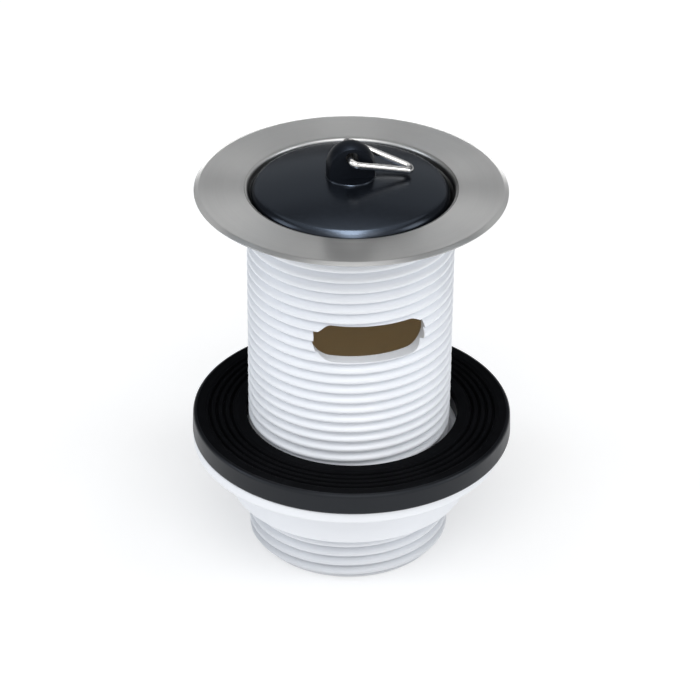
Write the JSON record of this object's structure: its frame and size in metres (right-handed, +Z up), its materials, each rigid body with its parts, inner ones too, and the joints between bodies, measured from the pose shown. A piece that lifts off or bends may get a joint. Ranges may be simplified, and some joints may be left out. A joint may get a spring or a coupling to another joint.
{
  "type": "slotted basin waste",
  "caption": "White threaded basin waste with an overflow slot, pressed steel flange, black plug with a wire link, grooved rubber washer and flanged backnut.",
  "frame": {"origin": "middle of the tail's end face, on the tube's axis, where the part stands", "axes": "+Z up the tube's axis towards the flange and plug, -Y out through the overflow slot that the picture shows, +X to the side that the wire link lies on"},
  "size_m": [0.0663, 0.0662, 0.0914],
  "materials": {
    "tube_plastic": "white moulded plastic, satin",
    "flange_steel": "pressed stainless sheet, fine polished",
    "screw_steel": "plain stainless",
    "insert_brass": "turned brass",
    "plug_plastic": "black moulded plastic, satin",
    "link_wire": "bright plated wire",
    "washer_rubber": "black rubber, matt",
    "nut_plastic": "white moulded plastic, satin"
  },
  "bodies": {
    "waste": {"waste_body": "tube_plastic", "steel_flange": "flange_steel", "centre_screw": "screw_steel", "screw_insert": "insert_brass", "plug": "plug_plastic"},
    "link": {"plug_link": "link_wire"},
    "washer": {"sealing_washer": "washer_rubber"},
    "nut": {"backnut": "nut_plastic"}
  },
  "joints": [
    {"name": "link_swing", "type": "hinge", "parent": "waste", "child": "link", "pos_m": [-0.00049, 0.00007, 0.089], "axis": [-0.0785, -0.9969, 0], "range_deg": [0, 219]},
    {"name": "nut_travel", "type": "slide", "parent": "waste", "child": "washer", "axis": [0, 0, 1], "range_m": [-0.0093, 0.0439]},
    {"name": "nut_turn", "type": "hinge", "parent": "washer", "child": "nut", "pos_m": [0, 0, 0.0188], "axis": [0, 0, 1], "range_deg": [-1440, 6840]}
  ],
  "couplings": [
    {"joint": "nut_travel", "follows": "nut_turn", "m_per_rad": 0.00036749}
  ]
}
